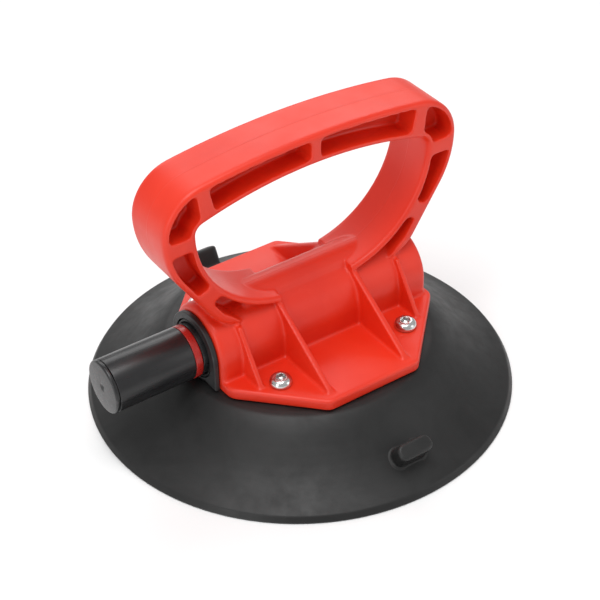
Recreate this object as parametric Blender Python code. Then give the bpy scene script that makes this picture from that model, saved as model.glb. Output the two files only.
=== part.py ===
"""Hand vacuum suction cup: a rubber pad under a moulded loop handle that holds a push-button air pump.

Metres, +Z up. The pad's sealing ring lies on Z = 0 and its centre is the origin. The pump lies along X and
its plunger comes out toward -X. The hand loop stands in the XZ plane.
"""

from math import acos, asin, atan2, cos, hypot, pi, radians, sin

import bmesh
import bpy
from mathutils import Vector

GAP = 0.0003  # between pieces that touch

# Pad
PLATEAU_HEIGHT = 0.0279
PLATEAU_RADIUS = 0.0622
CEILING_HEIGHT = 0.0142
TAB_SIZE = (0.0165, 0.0082, 0.017)  # width, thickness, length with its root
TAB_TIP = (0.0900, 0.0172)  # distance from the centre and height of the tip's middle
TAB_LEAN = radians(34)

# Pump axis and bore
AXIS_HEIGHT = 0.042
BORE_RADIUS = 0.0149
BORE_END = 0.0540
BARREL_RADIUS = 0.01985
BARREL_ENDS = (-0.0540, 0.0585)
BELLY_RADIUS = 0.0176
BELLY_END = 0.0560
RIDGE_RADIUS = 0.0097
RIDGE_HEIGHT = 0.0559
RIDGE_HALF_LENGTH = 0.036

# Flange
FLANGE_BOTTOM = PLATEAU_HEIGHT + GAP
FLANGE_TOP = 0.0339
FLANGE_HALF = (0.0597, 0.0572)  # half extents along X and Y
FLANGE_CORNER = (0.0240, 0.0205)  # half length of the straight edges that face Y and X
FLANGE_ROUND = 0.0045
FLANGE_END_ROUND = 0.0085  # at the two corners beside the end plate

# Hand loop, drawn for its right half about X = LOOP_X, which is the flange's middle too
LOOP_X = 0.0013
LOOP_HALF_WIDTH = 0.014
LOOP_TOP = 0.1385
LOOP_TOP_RADIUS = 0.390
LOOP_CORNER_RADIUS = 0.022
LOOP_CORNER_HEIGHT = 0.1125
LOOP_REACH = 0.076
LOOP_SIDE_RADIUS = 0.0455
LOOP_SIDE_TURN = radians(33)
LOOP_STRAIGHT = 0.0265
LOOP_HEEL_RADIUS = 0.0193
HAND_TOP = 0.124
HAND_TOP_RADIUS = 0.205
HAND_CORNER_RADIUS = 0.005
HAND_REACH = 0.0603
HAND_SIDE_RADIUS = 0.050
HAND_SIDE_TURN = radians(80)
SKIN = 0.0026
HEEL_SKIN = 0.0056
WEB_HALF_THICKNESS = 0.0030
# where each side pocket starts and ends along the outer skin, then along the inner skin
POCKETS = (
    (0.0024, 0.0535, 0.0024, 0.0512),
    (0.0595, 0.0852, 0.0585, 0.0678),
    (0.0925, 0.1200, 0.0742, 0.0975),
    (0.1236, 0.1600, 0.1062, 0.1500),
)

# Gussets: X, thickness, then the top's inner and outer ends as (Y, Z)
BIG_GUSSET = (0.0203, 0.0028, (0.0120, 0.0602), (0.0512, 0.0356))
SMALL_GUSSET = (0.0430, 0.0024, (0.0165, 0.0572), (0.0324, 0.0344))
GUSSET_NOSE = 0.0012

# Fasteners
SCREW_X = 0.0343
SCREW_Y = 0.0340
SCREW_HEAD_RADIUS = 0.00525
SCREW_HEAD_HEIGHT = 0.0033
SCREW_SOCKET_WIDTH = 0.004
SCREW_SHANK_RADIUS = 0.003
SCREW_LENGTH = 0.0125
NUT_WIDTH = 0.010
NUT_HEIGHT = 0.0048
PLATE_THICKNESS = 0.002
PLATE_INSET = 0.003

# Plunger and what it carries, along X
PLUNGER_RADIUS = 0.0124
PLUNGER_WALL = 0.0020
PLUNGER_START = -0.1025
CAP_THICKNESS = 0.0019
CAP_PLUG = 0.0080
TUBE_END = -0.0501
BAND_MIDDLE = -0.0606
BAND_WIDTH = 0.0035
BAND_THICKNESS = 0.0009
PISTON_RADIUS = 0.0130
SEAL_RADIUS = 0.0131
HUB_RADIUS = 0.0070

# Pump pieces that stay still, along X
END_PLATE_RADIUS = 0.0175
END_PLATE_THICKNESS = 0.0024
END_PLATE_BOTTOM = 0.0290
END_PLATE_LOBE = 0.0155
SPIGOT_LENGTH = 0.0040
CYLINDER_WALL = 0.0013
BLOCK_LENGTH = 0.0100
SPRING_COIL_RADIUS = 0.0075
SPRING_WIRE_RADIUS = 0.00065
SPRING_TURNS = 13
INTAKE_X = 0.0478
INTAKE_RADIUS = 0.0030
INTAKE_BORE = 0.0018
GASKET_RADIUS = 0.0046

RED_PLASTIC = ("red_plastic", (0.86, 0.065, 0.035), 0.38, 0.0)
BLACK_RUBBER = ("black_rubber", (0.045, 0.045, 0.046), 0.75, 0.0)
BLACK_PLASTIC = ("black_plastic", (0.028, 0.029, 0.030), 0.42, 0.0)
STAINLESS = ("stainless", (0.62, 0.62, 0.60), 0.25, 1.0)
PLATED_STEEL = ("plated_steel", (0.50, 0.51, 0.52), 0.35, 1.0)
BRASS = ("brass", (0.65, 0.48, 0.20), 0.30, 1.0)
WHITE_PLASTIC = ("white_plastic", (0.75, 0.75, 0.72), 0.45, 0.0)
GREY_FELT = ("grey_felt", (0.38, 0.38, 0.36), 0.95, 0.0)


def clear_scene():
    for item in list(bpy.data.objects):
        bpy.data.objects.remove(item, do_unlink=True)


def material(look):
    name, colour, roughness, metallic = look
    found = bpy.data.materials.get(name)
    if found:
        return found
    made = bpy.data.materials.new(name)
    made.use_nodes = True
    shader = made.node_tree.nodes["Principled BSDF"]
    shader.inputs["Base Color"].default_value = (*colour, 1.0)
    shader.inputs["Roughness"].default_value = roughness
    shader.inputs["Metallic"].default_value = metallic
    return made


def add_object(name, mesh_data, look, location=(0, 0, 0), parent=None, smooth=True):
    """Turns a bmesh into an object with a material. A smooth one keeps its edges over 35 degrees sharp."""
    bmesh.ops.recalc_face_normals(mesh_data, faces=mesh_data.faces)
    mesh = bpy.data.meshes.new(name)
    mesh_data.to_mesh(mesh)
    mesh_data.free()
    mesh.materials.append(material(look))
    if smooth:
        mesh.shade_smooth()
        mesh.set_sharp_from_angle(angle=radians(35))
    made = bpy.data.objects.new(name, mesh)
    made.location = location
    made.parent = parent
    bpy.context.collection.objects.link(made)
    return made


def turned(name, profile, look, axis="X", steps=36, location=(0, 0, 0), parent=None):
    """A turned piece. The profile is a closed outline of (distance along the axis, radius)."""
    along = Vector((1, 0, 0)) if axis == "X" else Vector((0, 0, 1))
    outward = Vector((0, 0, 1)) if axis == "X" else Vector((1, 0, 0))
    shape = bmesh.new()
    points = [shape.verts.new(along * place + outward * radius) for place, radius in profile]
    edges = [shape.edges.new((points[i - 1], points[i])) for i in range(len(points))]
    bmesh.ops.spin(shape, geom=points + edges, cent=(0, 0, 0), axis=along, angle=2 * pi, steps=steps,
                   use_merge=True, use_duplicate=False)
    bmesh.ops.remove_doubles(shape, verts=shape.verts, dist=1e-6)
    bmesh.ops.dissolve_degenerate(shape, edges=shape.edges, dist=1e-6)
    return add_object(name, shape, look, location, parent)


def ring_profile(start, end, inner, outer):
    return [(start, inner), (start, outer), (end, outer), (end, inner)]


def prism(name, outline, plane, low, high, look, location=(0, 0, 0), parent=None):
    """An outline drawn in a plane, made solid between two distances along that plane's normal."""
    place = {
        "XY": lambda point, depth: (point[0], point[1], depth),
        "XZ": lambda point, depth: (point[0], depth, point[1]),
        "YZ": lambda point, depth: (depth, point[0], point[1]),
    }[plane]
    shape = bmesh.new()
    face = shape.faces.new([shape.verts.new(place(point, low)) for point in outline])
    grown = bmesh.ops.extrude_face_region(shape, geom=[face])
    lifted = [item for item in grown["geom"] if isinstance(item, bmesh.types.BMVert)]
    bmesh.ops.translate(shape, verts=lifted, vec=place((0, 0), high - low))
    return add_object(name, shape, look, location, parent, smooth=False)


def bevel(target, width, segments=3, angle=50):
    modifier = target.modifiers.new("bevel", "BEVEL")
    modifier.width = width
    modifier.segments = segments
    modifier.limit_method = "ANGLE"
    modifier.angle_limit = radians(angle)
    modifier.use_clamp_overlap = True


def boolean(target, helpers, operation):
    """Joins helpers to the target, or cuts them from it. The helpers leave the render."""
    group = bpy.data.collections.new(f"{target.name}_{operation.lower()}")
    for helper in helpers:
        bpy.context.collection.objects.unlink(helper)
        group.objects.link(helper)
        helper.hide_render = True
        helper.display_type = "WIRE"
    bpy.context.scene.collection.children.link(group)
    group.hide_render = True
    modifier = target.modifiers.new(operation.lower(), "BOOLEAN")
    modifier.solver = "EXACT"
    modifier.operation = operation
    modifier.operand_type = "COLLECTION"
    modifier.collection = group


def arc(centre, radius, start, end, steps):
    """Points from angle start to angle end, both in radians."""
    turns = [start + (end - start) * i / steps for i in range(steps + 1)]
    return [(centre[0] + radius * cos(t), centre[1] + radius * sin(t)) for t in turns]


def without_repeats(points):
    kept = points[:1]
    for point in points[1:]:
        if hypot(point[0] - kept[-1][0], point[1] - kept[-1][1]) > 1e-5:
            kept.append(point)
    return kept


def loop_outside(inset):
    """The right half of the loop's outer edge, from the top's middle to the heel, moved inward by inset."""
    top_centre = (0, LOOP_TOP - LOOP_TOP_RADIUS)
    corner = (LOOP_REACH - LOOP_CORNER_RADIUS, LOOP_CORNER_HEIGHT)
    meet = atan2(corner[1] - top_centre[1], corner[0] - top_centre[0])
    side = (LOOP_REACH - LOOP_SIDE_RADIUS, LOOP_CORNER_HEIGHT)
    points = arc(top_centre, LOOP_TOP_RADIUS - inset, pi / 2, meet, 8)
    points += arc(corner, LOOP_CORNER_RADIUS - inset, meet, 0, 8)
    points += arc(side, LOOP_SIDE_RADIUS - inset, 0, -LOOP_SIDE_TURN, 5)
    inward = (-cos(LOOP_SIDE_TURN), sin(LOOP_SIDE_TURN))
    down = (-sin(LOOP_SIDE_TURN), -cos(LOOP_SIDE_TURN))
    heel = [side[i] - LOOP_SIDE_RADIUS * inward[i] + LOOP_STRAIGHT * down[i] + LOOP_HEEL_RADIUS * inward[i]
            for i in range(2)]
    points += arc(heel, LOOP_HEEL_RADIUS - inset, -LOOP_SIDE_TURN, -pi / 2, 5)
    return without_repeats(points)


def hand_opening(outset):
    """The right half of the hand opening's edge, from the top's middle down to the barrel."""
    top_centre = (0, HAND_TOP - HAND_TOP_RADIUS)
    corner_x = HAND_REACH - HAND_CORNER_RADIUS
    meet = acos(corner_x / (HAND_TOP_RADIUS - HAND_CORNER_RADIUS))
    corner = (corner_x, top_centre[1] + (HAND_TOP_RADIUS - HAND_CORNER_RADIUS) * sin(meet))
    side = (HAND_REACH - HAND_SIDE_RADIUS, corner[1])
    points = arc(top_centre, HAND_TOP_RADIUS + outset, pi / 2, meet, 8)
    points += arc(corner, HAND_CORNER_RADIUS + outset, meet, 0, 5)
    points += arc(side, HAND_SIDE_RADIUS + outset, 0, -HAND_SIDE_TURN, 12)
    return without_repeats(points)


def stretch(path, start, end):
    """The part of a path between two distances along it."""
    points = []
    walked = 0.0
    for here, there in zip(path, path[1:]):
        length = hypot(there[0] - here[0], there[1] - here[1])
        for wanted in (start, end):
            if walked <= wanted < walked + length:
                share = (wanted - walked) / length
                points.append(tuple(here[i] + (there[i] - here[i]) * share for i in range(2)))
        walked += length
        if start < walked < end:
            points.append(there)
    return without_repeats(points)


def hand_loop():
    """The loop with its side pockets, open at the bottom where it joins the barrel."""
    base = 0.050
    outside = loop_outside(0)
    inside = hand_opening(0)
    half = outside + [(outside[-1][0], base), (inside[-1][0], base)] + inside[::-1]
    outline = half + [(-x, z) for x, z in half[-2:0:-1]]
    loop = prism("hand_loop", outline, "XZ", -LOOP_HALF_WIDTH, LOOP_HALF_WIDTH, RED_PLASTIC, (LOOP_X, 0, 0))
    bevel(loop, 0.0022)
    boolean(loop, loop_pockets(base), "DIFFERENCE")
    return loop


def loop_pockets(base):
    cutters = []
    outside = loop_outside(SKIN)
    inside = hand_opening(SKIN)
    for number, (outer_start, outer_end, inner_start, inner_end) in enumerate(POCKETS):
        if number == len(POCKETS) - 1:
            outside = loop_outside(HEEL_SKIN)
        outer = stretch(outside, outer_start, outer_end)
        inner = stretch(inside, inner_start, inner_end)
        if number == len(POCKETS) - 1:
            outer.append((outer[-1][0], base + 0.003))
            inner.append((inner[-1][0], base + 0.003))
        outline = outer + inner[::-1]
        for side in (-1, 1):
            for face in (-1, 1):
                low, high = sorted((face * WEB_HALF_THICKNESS, face * (LOOP_HALF_WIDTH + 0.002)))
                points = [(side * x, z) for x, z in outline]
                cutter = prism(f"pocket_{number}_{side}_{face}", points, "XZ", low, high, RED_PLASTIC,
                               (LOOP_X, 0, 0))
                bevel(cutter, 0.0011, 2, 35)
                cutters.append(cutter)
    return cutters


def octagon(inset, left_end):
    """The flange's outline moved inward by inset, with its left end cut off square at left_end."""
    half_x, half_y = FLANGE_HALF[0] - inset, FLANGE_HALF[1] - inset
    lean = inset * (2 ** 0.5 - 1)
    flat_x, flat_y = FLANGE_CORNER[0] - lean, FLANGE_CORNER[1] - lean
    points = [(half_x, -flat_y), (half_x, flat_y), (flat_x, half_y), (-flat_x, half_y)]
    points += [(-half_x, flat_y), (-half_x, -flat_y), (-flat_x, -half_y), (flat_x, -half_y)]
    points = [(LOOP_X + x, y) for x, y in points]
    cut_y = flat_y + (half_x + left_end - LOOP_X) * (half_y - flat_y) / (half_x - flat_x)
    points[4] = (left_end, cut_y)
    points[5] = (left_end, -cut_y)
    return points


def rounded(points, radii, steps=3):
    """A closed outline with each corner replaced by an arc. Radii is one radius or one for each corner."""
    result = []
    for i, corner in enumerate(points):
        radius = radii if isinstance(radii, float) else radii[i]
        before = Vector(points[i - 1]) - Vector(corner)
        after = Vector(points[(i + 1) % len(points)]) - Vector(corner)
        half = before.angle(after) / 2
        middle = (before.normalized() + after.normalized()).normalized()
        centre = Vector(corner) + middle * radius / sin(half)
        spread = pi / 2 - half
        facing = atan2(-middle.y, -middle.x)
        sense = 1 if before.x * after.y - before.y * after.x < 0 else -1
        result += arc(centre, radius, facing - sense * spread, facing + sense * spread, steps)
    return result


def gusset(name, size, side_x, side_y):
    """A rib from the barrel down to the flange, thick across X."""
    x, thickness, (top_y, top_z), (end_y, end_z) = size
    low = FLANGE_BOTTOM + 0.002
    outline = [(0, low), (0, top_z), (top_y, top_z), (end_y, end_z), (end_y + GUSSET_NOSE, end_z - 0.0010),
               (end_y + GUSSET_NOSE, low)]
    outline = [(side_y * y, z) for y, z in outline]
    middle = LOOP_X + side_x * x
    return prism(name, outline, "YZ", middle - thickness / 2, middle + thickness / 2, RED_PLASTIC)


def handle_additions():
    """What is joined to the flange: barrel, ridge, belly, hand loop and gussets."""
    low = FLANGE_BOTTOM + 0.002
    arch = [(-BARREL_RADIUS, low), (BARREL_RADIUS, low)]
    arch += arc((0, AXIS_HEIGHT), BARREL_RADIUS, 0, pi, 24)
    barrel = prism("barrel", arch, "YZ", BARREL_ENDS[0], BARREL_ENDS[1], RED_PLASTIC)
    bevel(barrel, 0.0022, 3, 60)
    ridge = prism("ridge", arc((0, RIDGE_HEIGHT), RIDGE_RADIUS, -0.25, pi + 0.25, 16), "YZ",
                  LOOP_X - RIDGE_HALF_LENGTH, LOOP_X + RIDGE_HALF_LENGTH, RED_PLASTIC)
    drop = AXIS_HEIGHT - FLANGE_BOTTOM - 0.002
    lean = asin(drop / BELLY_RADIUS)
    belly = prism("belly", arc((0, AXIS_HEIGHT), BELLY_RADIUS, -lean, lean - pi, 12), "YZ",
                  BARREL_ENDS[0], BELLY_END, RED_PLASTIC)
    pieces = [barrel, ridge, belly, hand_loop()]
    for label, size in (("big", BIG_GUSSET), ("small", SMALL_GUSSET)):
        for side_x in (-1, 1):
            for side_y in (-1, 1):
                pieces.append(gusset(f"{label}_gusset_{side_x}_{side_y}", size, side_x, side_y))
    return pieces


def screw_places():
    return [(LOOP_X + side_x * SCREW_X, side_y * SCREW_Y, 0) for side_x in (-1, 1) for side_y in (-1, 1)]


def handle_cuts():
    """The pump bore, the intake passage with its gasket seat, and the screw holes."""
    start = BARREL_ENDS[0] - 0.002
    cuts = [turned("pump_bore", [(start, 0), (start, BORE_RADIUS), (BORE_END, BORE_RADIUS), (BORE_END, 0)],
                   RED_PLASTIC, location=(0, 0, AXIS_HEIGHT))]
    bottom = AXIS_HEIGHT - BELLY_RADIUS
    seat = bottom + 0.0015
    hole = INTAKE_RADIUS + GAP
    wide = GASKET_RADIUS + GAP
    profile = [(bottom - 0.001, 0), (bottom - 0.001, wide), (seat, wide), (seat, hole),
               (AXIS_HEIGHT - 0.010, hole), (AXIS_HEIGHT - 0.010, 0)]
    cuts.append(turned("intake_passage", profile, RED_PLASTIC, "Z", 24, (INTAKE_X, 0, 0)))
    hole = SCREW_SHANK_RADIUS + GAP
    profile = [(0.026, 0), (0.026, hole), (0.038, hole), (0.038, 0)]
    for number, place in enumerate(screw_places()):
        cuts.append(turned(f"screw_hole_{number}", profile, RED_PLASTIC, "Z", 20, place))
    return cuts


def handle_body():
    radii = [FLANGE_ROUND] * 4 + [FLANGE_END_ROUND] * 2 + [FLANGE_ROUND] * 2
    outline = rounded(octagon(0, BARREL_ENDS[0]), radii, 4)
    body = prism("handle_body", outline, "XY", FLANGE_BOTTOM, FLANGE_TOP, RED_PLASTIC)
    bevel(body, 0.0014, 2, 60)
    boolean(body, handle_additions(), "UNION")
    boolean(body, handle_cuts(), "DIFFERENCE")


def pad_profile():
    """Half of the pad's section as (height, radius), from the top's middle round to the ceiling's middle."""
    flank = [(PLATEAU_HEIGHT, PLATEAU_RADIUS - 0.001), (0.0275, PLATEAU_RADIUS + 0.0004), (0.0232, 0.0680),
             (0.0182, 0.0740), (0.0134, 0.0800), (0.0093, 0.0860), (0.0058, 0.0920), (0.0030, 0.0980)]
    rim = [(0.0022, 0.0986), (0.0004, 0.0998), (0.0, 0.0994), (0.0, 0.0945)]
    under = [(0.0012, 0.0930), (0.0032, 0.0870), (0.0070, 0.0790), (0.0110, 0.0700), (0.0134, 0.0610),
             (CEILING_HEIGHT, 0.0500)]
    return [(PLATEAU_HEIGHT, 0)] + flank + rim + under + [(CEILING_HEIGHT, 0)]


def pull_tab(side):
    """A block moulded on the pad's flank, to pull the lip off the surface."""
    shape = bmesh.new()
    bmesh.ops.create_cube(shape, size=1)
    bmesh.ops.scale(shape, vec=TAB_SIZE, verts=shape.verts)
    upright = [edge for edge in shape.edges if abs(edge.verts[0].co.z - edge.verts[1].co.z) > 0.001]
    bmesh.ops.bevel(shape, geom=upright, offset=0.0034, segments=5, affect="EDGES", profile=0.5)
    top = [edge for edge in shape.edges if min(vert.co.z for vert in edge.verts) > TAB_SIZE[2] / 2 - 1e-5]
    bmesh.ops.bevel(shape, geom=top, offset=0.0014, segments=3, affect="EDGES", profile=0.5)
    bmesh.ops.translate(shape, vec=(0, 0, -TAB_SIZE[2] / 2), verts=shape.verts)
    tab = add_object(f"pull_tab_{side}", shape, BLACK_RUBBER, (0, side * TAB_TIP[0], TAB_TIP[1]))
    tab.rotation_euler = (-side * TAB_LEAN, 0, 0)
    return tab


def pad_cuts():
    """The recess for the backing plate and its nuts, the trough for the belly, and the intake's way down."""
    floor = PLATEAU_HEIGHT - PLATE_THICKNESS - GAP
    cuts = [prism("plate_recess", rounded(octagon(PLATE_INSET - GAP, BARREL_ENDS[0] + 0.0015), 0.004), "XY",
                  floor, 0.034, BLACK_RUBBER)]
    channel = BELLY_RADIUS + PLATE_THICKNESS + 2 * GAP
    troughs = ((BARREL_ENDS[0] - 0.0002, LOOP_X + FLANGE_HALF[0] - PLATE_INSET + 0.0005, channel),
               (BARREL_ENDS[0] - END_PLATE_THICKNESS - 4 * GAP, -0.050, END_PLATE_LOBE + GAP),
               (-0.082, -0.050, PLUNGER_RADIUS + 0.0006))
    for number, (start, end, radius) in enumerate(troughs):
        cuts.append(turned(f"trough_{number}", [(start, 0), (start, radius), (end, radius), (end, 0)],
                           BLACK_RUBBER, location=(0, 0, AXIS_HEIGHT), steps=40))
    low = floor - NUT_HEIGHT - GAP
    profile = [(low, 0), (low, 0.0063), (0.033, 0.0063), (0.033, 0)]
    for number, place in enumerate(screw_places()):
        cuts.append(turned(f"nut_pocket_{number}", profile, BLACK_RUBBER, "Z", 20, place))
    hole = INTAKE_RADIUS + GAP
    profile = [(0.010, 0), (0.010, 0.0085), (0.0172, 0.0085), (0.0172, hole), (0.030, hole), (0.030, 0)]
    cuts.append(turned("filter_recess", profile, BLACK_RUBBER, "Z", 32, (INTAKE_X, 0, 0)))
    return cuts


def suction_pad():
    pad = turned("suction_pad", pad_profile(), BLACK_RUBBER, "Z", 72)
    boolean(pad, [pull_tab(-1), pull_tab(1)], "UNION")
    boolean(pad, pad_cuts(), "DIFFERENCE")


def backing_plate():
    """A steel plate pressed down into a channel under the belly."""
    top = PLATEAU_HEIGHT
    outline = rounded(octagon(PLATE_INSET, BARREL_ENDS[0] + 0.0018), 0.004)
    plate = prism("backing_plate", outline, "XY", top - PLATE_THICKNESS, top, PLATED_STEEL)
    start = BARREL_ENDS[0] + 0.0018
    end = LOOP_X + FLANGE_HALF[0] - PLATE_INSET
    inner = BELLY_RADIUS + GAP
    outer = inner + PLATE_THICKNESS
    lean = asin((AXIS_HEIGHT - top + 0.0006) / outer)
    channel = prism("channel", arc((0, AXIS_HEIGHT), outer, -lean, lean - pi, 20), "YZ", start, end, PLATED_STEEL)
    boolean(plate, [channel], "UNION")
    profile = [(start - 0.002, 0), (start - 0.002, inner), (end + 0.002, inner), (end + 0.002, 0)]
    cuts = [turned("channel_bore", profile, PLATED_STEEL, location=(0, 0, AXIS_HEIGHT))]
    hole = INTAKE_RADIUS + GAP
    profile = [(0.018, 0), (0.018, hole), (0.032, hole), (0.032, 0)]
    cuts.append(turned("intake_hole", profile, PLATED_STEEL, "Z", 24, (INTAKE_X, 0, 0)))
    hole = SCREW_SHANK_RADIUS + GAP
    profile = [(0.022, 0), (0.022, hole), (0.032, hole), (0.032, 0)]
    for number, place in enumerate(screw_places()):
        cuts.append(turned(f"plate_hole_{number}", profile, PLATED_STEEL, "Z", 20, place))
    boolean(plate, cuts, "DIFFERENCE")


def hexagon(width):
    return arc((0, 0), width / 2 / cos(pi / 6), 0, 2 * pi * 5 / 6, 5)


def button_screw(name, x, y):
    """A button-head socket screw. Its origin is under the head, on the screw's axis."""
    profile = [(-SCREW_LENGTH, 0), (-SCREW_LENGTH, 0.0024), (-SCREW_LENGTH + 0.0006, SCREW_SHANK_RADIUS),
               (0, SCREW_SHANK_RADIUS), (0, SCREW_HEAD_RADIUS), (0.0004, SCREW_HEAD_RADIUS)]
    flat = SCREW_SOCKET_WIDTH * 0.75
    rise = SCREW_HEAD_HEIGHT - 0.0004
    run = SCREW_HEAD_RADIUS - flat
    turns = [radians(22.5 * i) for i in range(1, 5)]
    profile += [(0.0004 + rise * sin(t), flat + run * cos(t)) for t in turns]
    profile.append((SCREW_HEAD_HEIGHT, 0))
    screw = turned(name, profile, STAINLESS, "Z", 20, (x, y, FLANGE_TOP + GAP))
    socket = prism(f"{name}_socket", hexagon(SCREW_SOCKET_WIDTH), "XY", SCREW_HEAD_HEIGHT - 0.0021,
                   SCREW_HEAD_HEIGHT + 0.001, STAINLESS, (x, y, FLANGE_TOP + GAP))
    boolean(screw, [socket], "DIFFERENCE")


def weld_nut(name, x, y):
    top = PLATEAU_HEIGHT - PLATE_THICKNESS - GAP
    nut = prism(name, hexagon(NUT_WIDTH), "XY", top - NUT_HEIGHT, top, PLATED_STEEL, (x, y, 0))
    hole = SCREW_SHANK_RADIUS + GAP
    profile = [(0.020, 0), (0.020, hole), (0.030, hole), (0.030, 0)]
    boolean(nut, [turned(f"{name}_thread", profile, PLATED_STEEL, "Z", 20, (x, y, 0))], "DIFFERENCE")


def fasteners():
    for number, (x, y, _) in enumerate(screw_places(), 1):
        button_screw(f"flange_screw_{number}", x, y)
        weld_nut(f"weld_nut_{number}", x, y)


def end_plate():
    """The black plate that closes the bore round the plunger. It has a D-shaped face and a spigot."""
    back = BARREL_ENDS[0] - GAP
    front = back - END_PLATE_THICKNESS
    drop = AXIS_HEIGHT - END_PLATE_BOTTOM
    lean = asin(drop / END_PLATE_LOBE)
    face = arc((0, AXIS_HEIGHT), END_PLATE_RADIUS, 0, pi, 24) + [(-END_PLATE_RADIUS, END_PLATE_BOTTOM)]
    face += arc((0, AXIS_HEIGHT), END_PLATE_LOBE, pi + lean, 2 * pi - lean, 10)
    face.append((END_PLATE_RADIUS, END_PLATE_BOTTOM))
    plate = prism("end_plate", face, "YZ", front, back, BLACK_PLASTIC)
    bevel(plate, 0.0004, 2, 60)
    at = (0, 0, AXIS_HEIGHT)
    spigot_radius = BORE_RADIUS - GAP
    end = back + SPIGOT_LENGTH
    spigot = turned("end_plate_spigot", [(front + 0.001, 0), (front + 0.001, spigot_radius),
                                         (end, spigot_radius), (end, 0)], BLACK_PLASTIC, location=at)
    boolean(plate, [spigot], "UNION")
    seat = front + 0.0018
    hole = PLUNGER_RADIUS + 0.0004
    profile = [(front - 0.001, 0), (front - 0.001, 0.0141), (seat, 0.0141), (seat, hole), (end + 0.001, hole),
               (end + 0.001, 0)]
    boolean(plate, [turned("end_plate_bore", profile, BLACK_PLASTIC, location=at)], "DIFFERENCE")
    profile = [(front + 0.0003, 0.0127), (front + 0.0003, 0.0136), (front + 0.0006, 0.0138),
               (seat - GAP, 0.0138), (seat - GAP, 0.0127)]
    turned("wiper_seal", profile, BLACK_RUBBER, location=at)


def pump_cylinder():
    start = BARREL_ENDS[0] + SPIGOT_LENGTH
    end = BORE_END - GAP - BLOCK_LENGTH - GAP
    outer = BORE_RADIUS - GAP
    turned("pump_cylinder", ring_profile(start, end, outer - CYLINDER_WALL, outer), BRASS,
           location=(0, 0, AXIS_HEIGHT))


def valve_block():
    """The plug at the bore's end. Air comes up from the pad and forward through the intake valve."""
    end = BORE_END - GAP
    start = end - BLOCK_LENGTH
    outer = BORE_RADIUS - GAP
    groove = (start + 0.0077, start + 0.0093)
    at = (0, 0, AXIS_HEIGHT)
    profile = [(start, 0), (start, outer), (groove[0], outer), (groove[0], outer - 0.0014),
               (groove[1], outer - 0.0014), (groove[1], outer), (end, outer), (end, 0)]
    block = turned("valve_block", profile, WHITE_PLASTIC, location=at)
    seat = start + 0.0024
    pocket = [(start - 0.001, 0), (start - 0.001, 0.0048), (seat, 0.0048), (seat, 0.0020), (INTAKE_X, 0.0020),
              (INTAKE_X, 0)]
    riser = [(0.025, 0), (0.025, INTAKE_RADIUS + GAP), (AXIS_HEIGHT - 0.011, INTAKE_RADIUS + GAP),
             (AXIS_HEIGHT - 0.011, INTAKE_BORE), (AXIS_HEIGHT + 0.001, INTAKE_BORE), (AXIS_HEIGHT + 0.001, 0)]
    boolean(block, [turned("valve_pocket", pocket, WHITE_PLASTIC, location=at, steps=32),
                    turned("riser", riser, WHITE_PLASTIC, "Z", 24, (INTAKE_X, 0, 0))], "DIFFERENCE")
    turned("intake_valve_disc", ring_solid(seat - GAP - 0.0012, seat - GAP, 0.0042), BLACK_RUBBER,
           location=at, steps=32)
    turned("spring_seat", ring_profile(start - GAP - 0.0010, start - GAP, 0.0032, 0.0095), PLATED_STEEL,
           location=at)
    middle = (groove[0] + groove[1]) / 2
    radius = 0.00060
    section = arc((middle, outer - GAP / 3 - radius), radius, 0, 2 * pi * 7 / 8, 7)
    turned("block_o_ring", section, BLACK_RUBBER, location=at)


def ring_solid(start, end, radius):
    return [(start, 0), (start, radius), (end, radius), (end, 0)]


def intake():
    """The brass tube from the pump down to the pad's hollow, with its gasket, filter and filter ring."""
    top = AXIS_HEIGHT - 0.0113
    turned("intake_tube", ring_profile(0.0176, top, INTAKE_BORE, INTAKE_RADIUS), BRASS, "Z", 24,
           (INTAKE_X, 0, 0))
    low = AXIS_HEIGHT - BELLY_RADIUS + 0.0004
    turned("intake_gasket", ring_profile(low, low + 0.0008, INTAKE_RADIUS + GAP, GASKET_RADIUS), BLACK_RUBBER,
           "Z", 24, (INTAKE_X, 0, 0))
    turned("filter_disc", ring_solid(0.0157, 0.0169, 0.0078), GREY_FELT, "Z", 32, (INTAKE_X, 0, 0))
    turned("filter_ring", ring_profile(0.0143, 0.0154, 0.0050, 0.0082), BLACK_PLASTIC, "Z", 32, (INTAKE_X, 0, 0))


def helix(name, start, end, look, parent):
    """A coil along X between two places, its ends closed flat by their own wire."""
    rings = SPRING_TURNS * 12
    sides = 5
    shape = bmesh.new()
    rows = []
    for i in range(rings + 1):
        share = i / rings
        turn = 2 * pi * SPRING_TURNS * share
        place = start + (end - start) * share
        outward = Vector((0, cos(turn), sin(turn)))
        centre = Vector((place, 0, 0)) + outward * SPRING_COIL_RADIUS
        row = []
        for k in range(sides):
            angle = 2 * pi * k / sides
            offset = outward * cos(angle) + Vector((1, 0, 0)) * sin(angle)
            row.append(shape.verts.new(centre + offset * SPRING_WIRE_RADIUS))
        rows.append(row)
    for row, following in zip(rows, rows[1:]):
        for k in range(sides):
            shape.faces.new((row[k - 1], row[k], following[k], following[k - 1]))
    shape.faces.new(rows[0])
    shape.faces.new(rows[-1])
    return add_object(name, shape, look, (0, 0, AXIS_HEIGHT), parent)


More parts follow.
